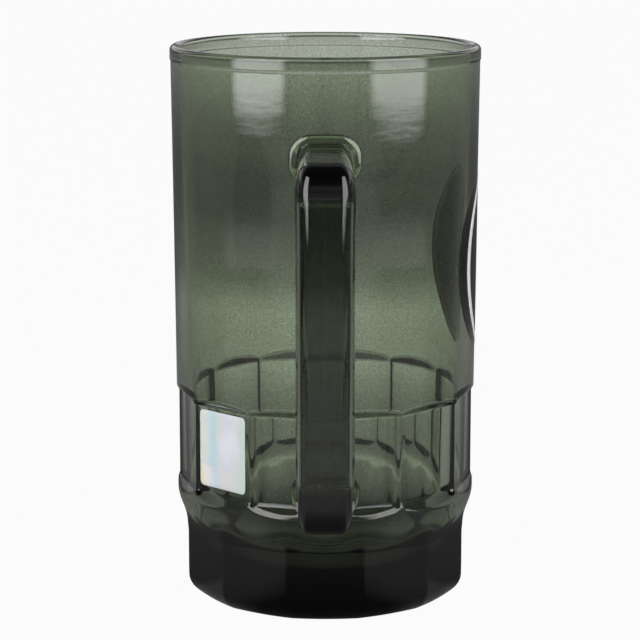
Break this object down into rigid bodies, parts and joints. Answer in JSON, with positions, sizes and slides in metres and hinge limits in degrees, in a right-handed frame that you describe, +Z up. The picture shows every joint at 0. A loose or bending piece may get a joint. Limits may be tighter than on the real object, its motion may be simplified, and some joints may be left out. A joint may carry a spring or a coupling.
{
  "type": "glass mug",
  "caption": "Tall smoked-glass tankard with recessed flat panels, a heavy many-sided base, an applied bar handle, a fired enamel medallion and a foil label.",
  "frame": {"origin": "middle of the flat standing face, on the tumbler's axis", "axes": "+Z up the tumbler's axis, -Y towards the handle, +X towards the medallion's side"},
  "size_m": [0.095, 0.1368, 0.171],
  "materials": {
    "smoked_glass": "clear, tinted grey-green through its thickness, fire polished",
    "foil": "metallised film with a faint rainbow",
    "white_enamel": "fired screen print, satin",
    "black_enamel": "fired screen print, satin"
  },
  "bodies": {
    "root": {"mug_body": "smoked_glass", "handle": "smoked_glass", "foil_label": "foil", "medallion_band": "white_enamel", "medallion_ground": "black_enamel", "medallion_ear": "white_enamel"}
  },
  "joints": []
}
